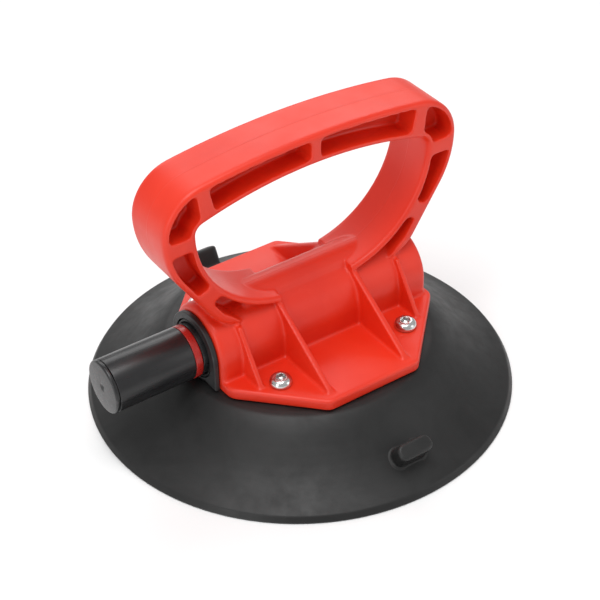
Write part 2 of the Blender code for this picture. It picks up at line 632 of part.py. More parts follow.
def plunger():
    """The moving part of the pump. Its empty stands on the pump's axis, at the plunger's outer end."""
    slide = bpy.data.objects.new("plunger_slide", None)
    slide.location = (PLUNGER_START, 0, AXIS_HEIGHT)
    bpy.context.collection.objects.link(slide)
    inner = PLUNGER_RADIUS - PLUNGER_WALL
    tube_start = PLUNGER_START + CAP_THICKNESS + GAP
    plug = inner - GAP
    groove = (BAND_MIDDLE - BAND_WIDTH / 2 - GAP, BAND_MIDDLE + BAND_WIDTH / 2 + GAP)
    deep = PLUNGER_RADIUS - BAND_THICKNESS - GAP
    edge = 0.0006
    tube = [(tube_start, inner), (tube_start, PLUNGER_RADIUS - 0.0002), (tube_start + 0.0002, PLUNGER_RADIUS),
            (groove[0], PLUNGER_RADIUS), (groove[0], deep), (groove[1], deep), (groove[1], PLUNGER_RADIUS),
            (TUBE_END, PLUNGER_RADIUS), (TUBE_END, inner)]
    cap = [(PLUNGER_START + 0.0005, 0), (PLUNGER_START + 0.0003, 0.0012), (PLUNGER_START, 0.0024)]
    cap += [(PLUNGER_START + edge - edge * cos(t), PLUNGER_RADIUS - edge + edge * sin(t))
            for t in (0, pi / 6, pi / 3, pi / 2)]
    cap += [(PLUNGER_START + CAP_THICKNESS, PLUNGER_RADIUS), (PLUNGER_START + CAP_THICKNESS, plug),
            (PLUNGER_START + CAP_THICKNESS + CAP_PLUG, plug), (PLUNGER_START + CAP_THICKNESS + CAP_PLUG, 0)]
    flange = (TUBE_END + GAP, TUBE_END + GAP + 0.0028)
    hub_end = flange[1] + 0.0050
    head = [(TUBE_END - 0.0080, 0.0028), (TUBE_END - 0.0080, plug), (flange[0], plug), (flange[0], PISTON_RADIUS),
            (flange[1], PISTON_RADIUS), (flange[1], HUB_RADIUS), (hub_end, HUB_RADIUS), (hub_end, 0.0028)]
    lip = 0.0011
    seal_inner = HUB_RADIUS + GAP
    seal_start = flange[1] + GAP
    seal_end = hub_end - GAP
    seal = [(seal_start, seal_inner), (seal_start, SEAL_RADIUS - 0.0008), (seal_start + 0.0010, SEAL_RADIUS - 0.0003),
            (seal_end, SEAL_RADIUS), (seal_end, SEAL_RADIUS - lip), (seal_start + 0.0018, SEAL_RADIUS - 0.0022),
            (seal_start + 0.0018, seal_inner + lip + 0.0010), (seal_end, seal_inner + lip), (seal_end, seal_inner)]
    washer_start = hub_end + GAP
    washer = ring_profile(washer_start, washer_start + 0.0012, 0.0028, 0.0098)
    screw_base = washer_start + 0.0012 + GAP
    screw = [(TUBE_END - 0.0060, 0), (TUBE_END - 0.0060, 0.0025), (screw_base, 0.0025), (screw_base, 0.0044),
             (screw_base + 0.0016, 0.0044), (screw_base + 0.0024, 0.0034), (screw_base + 0.0024, 0)]
    band = ring_profile(groove[0] + GAP, groove[1] - GAP, PLUNGER_RADIUS - BAND_THICKNESS, PLUNGER_RADIUS)
    pieces = (("plunger_tube", tube, BLACK_PLASTIC, 40), ("plunger_cap", cap, BLACK_PLASTIC, 40),
              ("indicator_band", band, RED_PLASTIC, 40), ("piston_head", head, BLACK_PLASTIC, 36),
              ("piston_seal", seal, BLACK_RUBBER, 36), ("piston_washer", washer, PLATED_STEEL, 28),
              ("piston_screw", screw, PLATED_STEEL, 20))
    for name, profile, look, steps in pieces:
        from_slide = [(place - PLUNGER_START, radius) for place, radius in profile]
        turned(name, from_slide, look, steps=steps, parent=slide)
    spring_start = washer_start + 0.0012 + GAP + SPRING_WIRE_RADIUS
    spring_end = BORE_END - GAP - BLOCK_LENGTH - GAP - 0.0010 - GAP - SPRING_WIRE_RADIUS
    helix("return_spring", spring_start, spring_end, STAINLESS, None)


def main():
    clear_scene()
    handle_body()
    suction_pad()
    backing_plate()
    fasteners()
    end_plate()
    pump_cylinder()
    valve_block()
    intake()
    plunger()


main()
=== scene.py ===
"""Looks, floor, light and camera for the hand vacuum suction cup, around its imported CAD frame.

Metres, +Z up. The pump lies along X with its plunger toward -X, and the hand loop stands in the XZ plane.
"""

from math import acos, asin, atan2, cos, hypot, pi, radians, sin, sqrt

import bmesh
import bpy
from mathutils import Matrix, Vector


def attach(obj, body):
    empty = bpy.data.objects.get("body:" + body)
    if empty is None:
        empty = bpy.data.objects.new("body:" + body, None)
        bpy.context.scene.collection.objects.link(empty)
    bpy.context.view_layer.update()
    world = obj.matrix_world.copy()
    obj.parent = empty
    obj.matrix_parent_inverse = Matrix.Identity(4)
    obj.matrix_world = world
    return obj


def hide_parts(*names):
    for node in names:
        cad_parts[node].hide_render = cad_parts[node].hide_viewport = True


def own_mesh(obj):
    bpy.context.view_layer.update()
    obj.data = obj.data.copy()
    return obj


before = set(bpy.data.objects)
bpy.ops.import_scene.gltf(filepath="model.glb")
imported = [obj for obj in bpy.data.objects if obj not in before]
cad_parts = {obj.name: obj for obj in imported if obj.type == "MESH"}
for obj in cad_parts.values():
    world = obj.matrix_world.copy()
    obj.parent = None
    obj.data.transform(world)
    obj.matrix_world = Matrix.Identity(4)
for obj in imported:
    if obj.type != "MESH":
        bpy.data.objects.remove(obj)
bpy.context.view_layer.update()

# ---------------------------------------------------------------- dimensions of the CAD model
GAP = 0.0003
PLATEAU_HEIGHT = 0.0279
PLATEAU_RADIUS = 0.0622
CEILING_HEIGHT = 0.0142
AXIS_HEIGHT = 0.042
BORE_RADIUS = 0.0149
BORE_END = 0.0540
BARREL_RADIUS = 0.01985
BARREL_ENDS = (-0.0540, 0.0585)
BELLY_RADIUS = 0.0176
BELLY_END = 0.0560
RIDGE_RADIUS = 0.0097
RIDGE_HEIGHT = 0.0559
RIDGE_HALF_LENGTH = 0.036
FLANGE_BOTTOM = PLATEAU_HEIGHT + GAP
FLANGE_TOP = 0.0339
FLANGE_HALF = (0.0597, 0.0572)
FLANGE_CORNER = (0.0240, 0.0205)
FLANGE_ROUND = 0.0045
FLANGE_END_ROUND = 0.0085
LOOP_X = 0.0013
LOOP_HALF_WIDTH = 0.014
LOOP_TOP = 0.1385
LOOP_TOP_RADIUS = 0.390
LOOP_CORNER_RADIUS = 0.022
LOOP_CORNER_HEIGHT = 0.1125
LOOP_REACH = 0.076
LOOP_SIDE_RADIUS = 0.0455
LOOP_SIDE_TURN = radians(33)
LOOP_STRAIGHT = 0.0265
LOOP_HEEL_RADIUS = 0.0193
HAND_TOP = 0.124
HAND_TOP_RADIUS = 0.205
HAND_CORNER_RADIUS = 0.005
HAND_REACH = 0.0603
HAND_SIDE_RADIUS = 0.050
HAND_SIDE_TURN = radians(80)
SKIN = 0.0026
HEEL_SKIN = 0.0045
HEEL_PARALLEL_END = 0.1370  # how far along its outer skin the lowest pocket keeps that thickness
HEEL_TIP = (0.0385, 0.0564)
WEB_HALF_THICKNESS = 0.0030
POCKETS = (
    (0.0024, 0.0535, 0.0024, 0.0512),
    (0.0595, 0.0852, 0.0585, 0.0678),
    (0.0925, 0.1200, 0.0742, 0.0975),
    (0.1239, HEEL_PARALLEL_END, 0.1062, 0.1500),
)
POCKET_ROUND = 0.0026
BIG_GUSSET = (0.0203, 0.0028, (0.0120, 0.0602), (0.0512, 0.0356))
SMALL_GUSSET = (0.0430, 0.0024, (0.0165, 0.0572), (0.0324, 0.0344))
GUSSET_NOSE = 0.0012
SCREW_X = 0.0343
SCREW_Y = 0.0340
SCREW_HEAD_RADIUS = 0.00525
SCREW_HEAD_HEIGHT = 0.0033
SCREW_SOCKET_WIDTH = 0.004
SCREW_SHANK_RADIUS = 0.003
SCREW_LENGTH = 0.0125
NUT_HEIGHT = 0.0048
PLATE_THICKNESS = 0.002
PLATE_INSET = 0.003
PLUNGER_RADIUS = 0.0124
PLUNGER_WALL = 0.0020
PLUNGER_START = -0.1025
CAP_THICKNESS = 0.0019
CAP_PLUG = 0.0080
TUBE_END = -0.0501
BAND_MIDDLE = -0.0606
BAND_WIDTH = 0.0035
BAND_THICKNESS = 0.0009
END_PLATE_RADIUS = 0.0175
END_PLATE_THICKNESS = 0.0024
END_PLATE_BOTTOM = 0.0290
END_PLATE_LOBE = 0.0155
SPIGOT_LENGTH = 0.0040
SPRING_COIL_RADIUS = 0.0075
SPRING_WIRE_RADIUS = 0.00065
SPRING_TURNS = 13
SPRING_ENDS = (-0.03955, 0.04145)
INTAKE_X = 0.0478
INTAKE_RADIUS = 0.0030
TAB_HALF = (0.00825, 0.0041)  # half width, half thickness
TAB_HEIGHT = 0.0098
TAB_PLACE = 0.0834  # distance of its middle from the pad's axis, on the flank
TAB_ROOT = 0.0014  # radius of the fillet where it grows out of the flank

VOXEL = 0.0006


# ---------------------------------------------------------------- node materials
def new_material(name):
    made = bpy.data.materials.new(name)
    made.use_nodes = True
    return made.node_tree, made


def add_node(tree, kind, **settings):
    node = tree.nodes.new(kind)
    for key, value in settings.items():
        setattr(node, key, value)
    return node


def place_of(tree, stretch=(1, 1, 1)):
    """The surface point in metres, stretched along an axis to draw a pattern out."""
    coordinates = add_node(tree, "ShaderNodeTexCoord")
    mapping = add_node(tree, "ShaderNodeMapping")
    mapping.inputs["Scale"].default_value = stretch
    tree.links.new(coordinates.outputs["Object"], mapping.inputs["Vector"])
    return mapping.outputs["Vector"]


def noise(tree, scale, detail=4.0, rough=0.55, stretch=(1, 1, 1), warp=0.0):
    node = add_node(tree, "ShaderNodeTexNoise")
    node.inputs["Scale"].default_value = scale
    node.inputs["Detail"].default_value = detail
    node.inputs["Roughness"].default_value = rough
    node.inputs["Distortion"].default_value = warp
    tree.links.new(place_of(tree, stretch), node.inputs["Vector"])
    return node.outputs["Fac"]


def cells(tree, scale, stretch=(1, 1, 1)):
    node = add_node(tree, "ShaderNodeTexVoronoi")
    node.inputs["Scale"].default_value = scale
    tree.links.new(place_of(tree, stretch), node.inputs["Vector"])
    return node.outputs["Distance"]


def spread(tree, value, low, high, start=0.3, end=0.7):
    """Stretches a value between start and end to run from low to high."""
    node = add_node(tree, "ShaderNodeMapRange")
    tree.links.new(value, node.inputs["Value"])
    for name, number in (("From Min", start), ("From Max", end), ("To Min", low), ("To Max", high)):
        node.inputs[name].default_value = number
    return node.outputs["Result"]


def calc(tree, operation, first, second=0.0):
    node = add_node(tree, "ShaderNodeMath", operation=operation)
    for slot_number, value in enumerate((first, second)):
        if isinstance(value, (int, float)):
            node.inputs[slot_number].default_value = value
        else:
            tree.links.new(value, node.inputs[slot_number])
    return node.outputs["Value"]


def colours(tree, value, stops):
    """A colour ramp from (place, colour) stops."""
    node = add_node(tree, "ShaderNodeValToRGB")
    ramp = node.color_ramp
    while len(ramp.elements) < len(stops):
        ramp.elements.new(0.5)
    for element, (place, colour) in zip(ramp.elements, stops):
        element.position = place
        element.color = (*colour, 1.0)
    tree.links.new(value, node.inputs["Fac"])
    return node.outputs["Color"]


def mixed(tree, share, first, second):
    """The first colour turned into the second by share. Each is a link or an RGB triple."""
    node = add_node(tree, "ShaderNodeMix", data_type="RGBA")
    tree.links.new(share, node.inputs[0])
    for slot_number, value in ((6, first), (7, second)):
        if isinstance(value, tuple):
            node.inputs[slot_number].default_value = (*value, 1.0)
        else:
            tree.links.new(value, node.inputs[slot_number])
    return node.outputs[2]


def raised(tree, heights):
    """Bump from (height value, strength, distance in metres) layers."""
    normal = None
    for value, strength, distance in heights:
        node = add_node(tree, "ShaderNodeBump")
        node.inputs["Strength"].default_value = strength
        node.inputs["Distance"].default_value = distance
        tree.links.new(value, node.inputs["Height"])
        if normal:
            tree.links.new(normal, node.inputs["Normal"])
        normal = node.outputs["Normal"]
    return normal


def finish_with(tree, colour, rough, normal, **fixed):
    shader = tree.nodes["Principled BSDF"]
    tree.links.new(colour, shader.inputs["Base Color"])
    tree.links.new(rough, shader.inputs["Roughness"])
    tree.links.new(normal, shader.inputs["Normal"])
    for name, value in fixed.items():
        shader.inputs[name.replace("_", " ")].default_value = value


def coordinate(tree, axis):
    coordinates = add_node(tree, "ShaderNodeTexCoord")
    split = add_node(tree, "ShaderNodeSeparateXYZ")
    tree.links.new(coordinates.outputs["Object"], split.inputs["Vector"])
    return split.outputs[axis]


def edge_share(tree, start, end):
    """From 0 on flat faces to 1 on outward edges."""
    geometry = add_node(tree, "ShaderNodeNewGeometry")
    return spread(tree, geometry.outputs["Pointiness"], 0.0, 1.0, start, end)


def red_moulding():
    """Satin red plastic: flow clouds, a fine mould texture, light rub marks, a painted highlight that makes
    its edges paler, and a parting line at Y = 0.
    """
    tree, made = new_material("handle_red")
    clouds = noise(tree, 22, 3, 0.5, warp=0.6)
    base = colours(tree, clouds, [(0.30, (0.71, 0.022, 0.004)), (0.70, (0.79, 0.031, 0.007))])
    rub = spread(tree, noise(tree, 95, 5, 0.7, (1, 1, 0.35), 0.8), 0.0, 0.30, 0.60, 0.82)
    base = mixed(tree, rub, base, (0.84, 0.065, 0.030))
    # Painted highlight: outward edges are lightened by their pointiness, standing in for the shine lamps put
    # on rounded edges.
    painted_edge_highlight = calc(tree, "MULTIPLY", edge_share(tree, 0.52, 0.60), 0.35)
    base = mixed(tree, painted_edge_highlight, base, (0.86, 0.085, 0.045))
    rough = spread(tree, noise(tree, 60, 5, 0.65), 0.38, 0.52)
    across = calc(tree, "ABSOLUTE", coordinate(tree, "Y"))
    line = spread(tree, across, 1.0, 0.0, 0.00008, 0.00030)
    grain = noise(tree, 2600, 2, 0.5)
    flow = noise(tree, 140, 3, 0.5, (0.25, 1, 1), 1.2)
    normal = raised(tree, [(grain, 0.10, 0.00006), (flow, 0.10, 0.00015), (line, 0.45, 0.00015)])
    finish_with(tree, base, rough, normal, Coat_Weight=0.12, Coat_Roughness=0.25, Specular_IOR_Level=0.45)
    return made


def moulded_rubber(name, dark, light, rings=True):
    """Matte rubber with a chalky bloom, faint turning rings from its mould, dust specks and a painted
    highlight that makes its edges paler.
    """
    tree, made = new_material(name)
    bloom = noise(tree, 38, 6, 0.62, warp=0.9)
    base = colours(tree, bloom, [(0.32, dark), (0.68, light)])
    dust = spread(tree, noise(tree, 900, 3, 0.7), 0.0, 0.35, 0.66, 0.80)
    base = mixed(tree, dust, base, (0.045, 0.045, 0.045))
    # Painted highlight: outward edges are lightened by their pointiness, standing in for the shine lamps put
    # on rounded edges.
    base = mixed(tree, calc(tree, "MULTIPLY", edge_share(tree, 0.51, 0.60), 0.5), base, (0.05, 0.05, 0.05))
    rough = spread(tree, noise(tree, 120, 5, 0.6), 0.40, 0.54)
    layers = [(noise(tree, 1900, 3, 0.6), 0.16, 0.00010), (noise(tree, 230, 3, 0.5), 0.12, 0.00020)]
    if rings:
        wave = add_node(tree, "ShaderNodeTexWave", wave_type="RINGS", rings_direction="Z")
        wave.inputs["Scale"].default_value = 95
        wave.inputs["Distortion"].default_value = 1.2
        wave.inputs["Detail"].default_value = 2
        wave.inputs["Detail Scale"].default_value = 3
        tree.links.new(place_of(tree), wave.inputs["Vector"])
        layers.append((wave.outputs["Fac"], 0.07, 0.00010))
    finish_with(tree, base, rough, raised(tree, layers), Specular_IOR_Level=0.40)
    return made


def black_plastic(name, dark, light, low, high, stretch):
    """Satin black plastic, rubbed along one axis by what slides on it, with a painted highlight that makes
    its edges paler.
    """
    tree, made = new_material(name)
    base = colours(tree, noise(tree, 70, 4, 0.6), [(0.30, dark), (0.70, light)])
    rub = noise(tree, 420, 5, 0.7, stretch, 0.3)
    base = mixed(tree, spread(tree, rub, 0.0, 0.4, 0.58, 0.80), base, (0.022, 0.022, 0.023))
    # Painted highlight: outward edges are lightened by their pointiness, standing in for the shine lamps put
    # on rounded edges.
    base = mixed(tree, calc(tree, "MULTIPLY", edge_share(tree, 0.51, 0.58), 0.6), base, (0.06, 0.06, 0.062))
    rough = spread(tree, rub, low, high)
    normal = raised(tree, [(noise(tree, 2400, 2, 0.5), 0.08, 0.00006), (rub, 0.06, 0.00005)])
    finish_with(tree, base, rough, normal, Specular_IOR_Level=0.5)
    return made


def metal(name, dark, light, low, high, stretch, grain=800, relief=0.10):
    """Metal with drawn or turned grain, tarnish clouds and small scratches."""
    tree, made = new_material(name)
    tarnish = noise(tree, 260, 5, 0.6, warp=0.5)
    base = colours(tree, tarnish, [(0.30, dark), (0.72, light)])
    lines = noise(tree, grain, 4, 0.6, stretch)
    rough = spread(tree, lines, low, high)
    normal = raised(tree, [(lines, relief, 0.00004), (noise(tree, 1500, 3, 0.6), relief / 2, 0.00004)])
    finish_with(tree, base, rough, normal, Metallic=1.0)
    return made


def natural_plastic():
    tree, made = new_material("valve_plastic_natural")
    base = colours(tree, noise(tree, 120, 4, 0.6), [(0.3, (0.66, 0.65, 0.60)), (0.7, (0.78, 0.77, 0.73))])
    rough = spread(tree, noise(tree, 200, 4, 0.6), 0.38, 0.52)
    finish_with(tree, base, rough, raised(tree, [(noise(tree, 1800, 2, 0.5), 0.1, 0.00008)]))
    return made


def felt():
    """Needled felt: crossed fibres over soft clumps."""
    tree, made = new_material("filter_felt_grey")
    fibres = calc(tree, "MAXIMUM", noise(tree, 1500, 4, 0.7, (0.25, 1, 1), 1.5),
                  noise(tree, 1500, 4, 0.7, (1, 0.25, 1), 1.5))
    base = colours(tree, fibres, [(0.42, (0.22, 0.22, 0.21)), (0.72, (0.50, 0.50, 0.47))])
    rough = spread(tree, fibres, 0.86, 0.98)
    finish_with(tree, base, rough, raised(tree, [(fibres, 0.7, 0.0003), (cells(tree, 900), 0.3, 0.0002)]))
    return made


# ---------------------------------------------------------------- mesh building
def add_piece(name, shape, look=None, sharp=35):
    """Turns a bmesh into an object. Edges over the sharp angle stay sharp."""
    bmesh.ops.recalc_face_normals(shape, faces=shape.faces)
    mesh = bpy.data.meshes.new(name)
    shape.to_mesh(mesh)
    shape.free()
    mesh.shade_smooth()
    mesh.set_sharp_from_angle(angle=radians(sharp))
    if look:
        mesh.materials.append(look)
    made = bpy.data.objects.new(name, mesh)
    bpy.context.scene.collection.objects.link(made)
    return made


def settle(piece):
    """Applies the modifiers of a piece."""
    bpy.context.view_layer.update()
    evaluated = piece.evaluated_get(bpy.context.evaluated_depsgraph_get())
    mesh = bpy.data.meshes.new_from_object(evaluated)
    piece.modifiers.clear()
    old = piece.data
    piece.data = mesh
    mesh.name = piece.name
    bpy.data.meshes.remove(old)
    return piece


def combine(target, helpers, operation):
    """Joins helpers to the target or cuts them from it, and removes them."""
    group = bpy.data.collections.new(f"{target.name}_{operation}")
    bpy.context.scene.collection.children.link(group)
    for helper in helpers:
        bpy.context.scene.collection.objects.unlink(helper)
        group.objects.link(helper)
    modifier = target.modifiers.new(operation, "BOOLEAN")
    modifier.solver = "EXACT"
    modifier.operation = operation
    modifier.operand_type = "COLLECTION"
    modifier.collection = group
    settle(target)
    for helper in helpers:
        bpy.data.objects.remove(helper, do_unlink=True)
    bpy.data.collections.remove(group)
    return target


def soft_edges(piece, width, segments=3, angle=40):
    modifier = piece.modifiers.new("bevel", "BEVEL")
    modifier.width = width
    modifier.segments = segments
    modifier.limit_method = "ANGLE"
    modifier.angle_limit = radians(angle)
    settle(piece)
    piece.data.shade_smooth()
    piece.data.set_sharp_from_angle(angle=radians(40))
    return piece


def moulded(piece, voxel, rounds):
    """Remeshes a piece evenly and smooths it, which gives every edge and corner its moulding radius."""
    remesh = piece.modifiers.new("remesh", "REMESH")
    remesh.mode = "VOXEL"
    remesh.voxel_size = voxel
    smooth = piece.modifiers.new("smooth", "SMOOTH")
    smooth.factor = 0.5
    smooth.iterations = rounds
    settle(piece)
    piece.data.shade_smooth()
    return piece


def loft(rows):
    """A closed solid through rows of 3-D points that have the same count, capped at both ends."""
    shape = bmesh.new()
    verts = [[shape.verts.new(point) for point in row] for row in rows]
    for row, following in zip(verts, verts[1:]):
        for k in range(len(row)):
            shape.faces.new((row[k - 1], row[k], following[k], following[k - 1]))
    shape.faces.new(verts[0])
    shape.faces.new(verts[-1])
    return shape


def turned_shape(profile, axis, steps, centre):
    """A solid of revolution from a closed outline of (distance along the axis, radius)."""
    along = Vector((1, 0, 0)) if axis == "X" else Vector((0, 0, 1))
    outward = Vector((0, 0, 1)) if axis == "X" else Vector((1, 0, 0))
    shape = bmesh.new()
    points = [shape.verts.new(along * place + outward * radius) for place, radius in profile]
    edges = [shape.edges.new((points[i - 1], points[i])) for i in range(len(points))]
    bmesh.ops.spin(shape, geom=points + edges, cent=(0, 0, 0), axis=along, angle=2 * pi, steps=steps,
                   use_merge=True, use_duplicate=False)
    bmesh.ops.remove_doubles(shape, verts=shape.verts, dist=1e-6)
    bmesh.ops.dissolve_degenerate(shape, edges=shape.edges, dist=1e-6)
    bmesh.ops.translate(shape, verts=shape.verts, vec=centre)
    return shape


def turned(name, profile, look=None, axis="X", steps=128, centre=(0, 0, AXIS_HEIGHT), sharp=35):
    return add_piece(name, turned_shape(profile, axis, steps, centre), look, sharp)


def prism(name, outline, plane, low, high, look=None):
    place = {
        "XY": lambda point, depth: (point[0], point[1], depth),
        "XZ": lambda point, depth: (point[0], depth, point[1]),
        "YZ": lambda point, depth: (depth, point[0], point[1]),
    }[plane]
    return add_piece(name, loft([[place(point, depth) for point in outline] for depth in (low, high)]), look)


def arc(centre, radius, start, end, steps):
    turns = [start + (end - start) * i / steps for i in range(steps + 1)]
    return [(centre[0] + radius * cos(t), centre[1] + radius * sin(t)) for t in turns]


def edge_rows(half, radius, steps=6):
    """(depth, inset) pairs for a slab with both edges rounded, from -half to half."""
    turns = [pi / 2 * i / steps for i in range(steps + 1)]
    low = [(-half + radius - radius * cos(t), radius - radius * sin(t)) for t in turns]
    return low + [(-depth, inset) for depth, inset in low[::-1]]


def softened_corners(profile, radii, steps=5):
    """An outline with its corner number k rounded by radii[k]."""
    result = []
    for k, corner in enumerate(profile):
        radius = radii.get(k, 0)
        if not radius:
            result.append(corner)
            continue
        here = Vector(corner)
        before = (Vector(profile[k - 1]) - here).normalized()
        after = (Vector(profile[(k + 1) % len(profile)]) - here).normalized()
        half = before.angle(after) / 2
        middle = (before + after).normalized()
        centre = here + middle * radius / sin(half)
        facing = atan2(-middle.y, -middle.x)
        sense = 1 if before.x * after.y - before.y * after.x < 0 else -1
        width = pi / 2 - half
        result += arc(centre, radius, facing - sense * width, facing + sense * width, steps)
    return result


# ---------------------------------------------------------------- handle
def loop_outside(inset):
    """The right half of the loop's outer edge, from the top's middle to the heel, moved inward by inset."""
    top_centre = (0, LOOP_TOP - LOOP_TOP_RADIUS)
    corner = (LOOP_REACH - LOOP_CORNER_RADIUS, LOOP_CORNER_HEIGHT)
    meet = atan2(corner[1] - top_centre[1], corner[0] - top_centre[0])
    side = (LOOP_REACH - LOOP_SIDE_RADIUS, LOOP_CORNER_HEIGHT)
    points = arc(top_centre, LOOP_TOP_RADIUS - inset, pi / 2, meet, 16)
    points += arc(corner, LOOP_CORNER_RADIUS - inset, meet, 0, 20)[1:]
    points += arc(side, LOOP_SIDE_RADIUS - inset, 0, -LOOP_SIDE_TURN, 12)[1:]
    inward = (-cos(LOOP_SIDE_TURN), sin(LOOP_SIDE_TURN))
    down = (-sin(LOOP_SIDE_TURN), -cos(LOOP_SIDE_TURN))
    heel = [side[i] - LOOP_SIDE_RADIUS * inward[i] + LOOP_STRAIGHT * down[i] + LOOP_HEEL_RADIUS * inward[i]
            for i in range(2)]
    return points + arc(heel, LOOP_HEEL_RADIUS - inset, -LOOP_SIDE_TURN, -pi / 2, 12)


def hand_opening(outset):
    """The right half of the hand opening's edge, from the top's middle down to the barrel."""
    top_centre = (0, HAND_TOP - HAND_TOP_RADIUS)
    corner_x = HAND_REACH - HAND_CORNER_RADIUS
    meet = acos(corner_x / (HAND_TOP_RADIUS - HAND_CORNER_RADIUS))
    corner = (corner_x, top_centre[1] + (HAND_TOP_RADIUS - HAND_CORNER_RADIUS) * sin(meet))
    side = (HAND_REACH - HAND_SIDE_RADIUS, corner[1])
    points = arc(top_centre, HAND_TOP_RADIUS + outset, pi / 2, meet, 16)
    points += arc(corner, HAND_CORNER_RADIUS + outset, meet, 0, 12)[1:]
    return points + arc(side, HAND_SIDE_RADIUS + outset, 0, -HAND_SIDE_TURN, 28)[1:]


def stretch_of(path, start, end):
    """The part of a path between two distances along it."""
    points = []
    walked = 0.0
    for here, there in zip(path, path[1:]):
        length = hypot(there[0] - here[0], there[1] - here[1])
        for wanted in (start, end):
            if walked <= wanted < walked + length:
                share = (wanted - walked) / length
                points.append(tuple(here[i] + (there[i] - here[i]) * share for i in range(2)))
        walked += length
        if start < walked < end:
            points.append(there)
    kept = points[:1]
    for point in points[1:]:
        if hypot(point[0] - kept[-1][0], point[1] - kept[-1][1]) > 1e-5:
            kept.append(point)
    return kept


def turn_corner(before, corner, after, steps=6):
    """A smooth curve from a point before a corner to a point after it."""
    shares = [i / steps for i in range(steps + 1)]
    return [tuple((1 - t) ** 2 * before[i] + 2 * t * (1 - t) * corner[i] + t * t * after[i]
                  for i in range(2)) for t in shares]


def pocket_outline(outside, inside, ends):
    """A pocket between the two skins, with its four corners rounded."""
    outer_start, outer_end, inner_start, inner_end = ends
    r = POCKET_ROUND
    outer_whole = stretch_of(outside, outer_start, outer_end)
    inner_whole = stretch_of(inside, inner_start, inner_end)
    outer = stretch_of(outside, outer_start + r, outer_end - r)
    inner = stretch_of(inside, inner_start + r, inner_end - r)

    def toward(here, there):
        distance = hypot(there[0] - here[0], there[1] - here[1])
        return tuple(here[i] + (there[i] - here[i]) * r / distance for i in range(2))

    outline = list(outer)
    corner, other = outer_whole[-1], inner_whole[-1]
    outline += turn_corner(outer[-1], corner, toward(corner, other))[1:]
    outline += turn_corner(toward(other, corner), other, inner[-1])
    outline += inner[::-1][1:]
    corner, other = inner_whole[0], outer_whole[0]
    outline += turn_corner(inner[0], corner, toward(corner, other))[1:]
    outline += turn_corner(toward(other, corner), other, outer[0])[:-1]
    return outline


def hand_loop():
    """The loop with rounded long edges and side pockets, open at the bottom where it joins the barrel."""
    base = 0.050
    rows = []
    for depth, inset in edge_rows(LOOP_HALF_WIDTH, 0.0022):
        outside = loop_outside(inset)
        inside = hand_opening(inset)
        half = outside + [(outside[-1][0], base), (inside[-1][0], base)] + inside[::-1]
        outline = half + [(-x, z) for x, z in half[-2:0:-1]]
        rows.append([(LOOP_X + x, depth, z) for x, z in outline])
    loop = add_piece("hand_loop", loft(rows))
    return combine(loop, loop_pockets(base), "DIFFERENCE")


def loop_pockets(base):
    cutters = []
    outside = loop_outside(SKIN)
    inside = hand_opening(SKIN)
    for number, ends in enumerate(POCKETS):
        if number < len(POCKETS) - 1:
            outline = pocket_outline(outside, inside, ends)
        else:
            outer = stretch_of(loop_outside(HEEL_SKIN), ends[0], ends[1])
            inner = stretch_of(inside, ends[2], ends[3])
            outer += [HEEL_TIP, (HEEL_TIP[0] - 0.001, base + 0.003)]
            inner.append((inner[-1][0], base + 0.003))
            radii = {0: POCKET_ROUND, len(outer) + len(inner) - 1: POCKET_ROUND}
            outline = softened_corners(outer + inner[::-1], radii)
        for side in (-1, 1):
            for face in (-1, 1):
                low, high = sorted((face * WEB_HALF_THICKNESS, face * (LOOP_HALF_WIDTH + 0.002)))
                points = [(LOOP_X + side * x, z) for x, z in outline]
                cutters.append(prism(f"pocket_{number}_{side}_{face}", points, "XZ", low, high))
    return cutters


def octagon(inset, left_end):
    """The flange's outline moved inward by inset, with its left end cut off square at left_end."""
    half_x, half_y = FLANGE_HALF[0] - inset, FLANGE_HALF[1] - inset
    lean = inset * (sqrt(2) - 1)
    flat_x, flat_y = FLANGE_CORNER[0] - lean, FLANGE_CORNER[1] - lean
    points = [(half_x, -flat_y), (half_x, flat_y), (flat_x, half_y), (-flat_x, half_y)]
    points += [(-half_x, flat_y), (-half_x, -flat_y), (-flat_x, -half_y), (flat_x, -half_y)]
    points = [(LOOP_X + x, y) for x, y in points]
    cut_y = flat_y + (half_x + left_end - LOOP_X) * (half_y - flat_y) / (half_x - flat_x)
    points[4] = (left_end, cut_y)
    points[5] = (left_end, -cut_y)
    return points


def flange():
    middle = (FLANGE_BOTTOM + FLANGE_TOP) / 2
    rows = []
    for depth, inset in edge_rows((FLANGE_TOP - FLANGE_BOTTOM) / 2, 0.0012, 4):
        radii = {k: FLANGE_ROUND - inset for k in range(8)}
        radii[4] = radii[5] = FLANGE_END_ROUND - inset
        outline = softened_corners(octagon(inset, BARREL_ENDS[0] + inset), radii, 8)
        rows.append([(x, y, middle + depth) for x, y in outline])
    return add_piece("handle", loft(rows))


def barrel():
    """The pump barrel, an arch that runs down into the flange, with a rounded rim."""
    low = FLANGE_BOTTOM + 0.002
    middle = (BARREL_ENDS[0] + BARREL_ENDS[1]) / 2
    rows = []
    for depth, inset in edge_rows((BARREL_ENDS[1] - BARREL_ENDS[0]) / 2, 0.0026):
        radius = BARREL_RADIUS - inset
        outline = [(-radius, low), (radius, low)] + arc((0, AXIS_HEIGHT), radius, 0, pi, 72)
        rows.append([(middle + depth, y, z) for y, z in outline])
    return add_piece("barrel", loft(rows))


def ridge():
    rows = []
    for depth, inset in edge_rows(RIDGE_HALF_LENGTH, 0.0012, 4):
        outline = arc((0, RIDGE_HEIGHT), RIDGE_RADIUS - inset, -0.25, pi + 0.25, 40)
        rows.append([(LOOP_X + depth, y, z) for y, z in outline])
    return add_piece("ridge", loft(rows))


def belly():
    drop = AXIS_HEIGHT - FLANGE_BOTTOM - 0.002
    lean = asin(drop / BELLY_RADIUS)
    outline = arc((0, AXIS_HEIGHT), BELLY_RADIUS, -lean, lean - pi, 40)
    return prism("belly", outline, "YZ", BARREL_ENDS[0], BELLY_END)


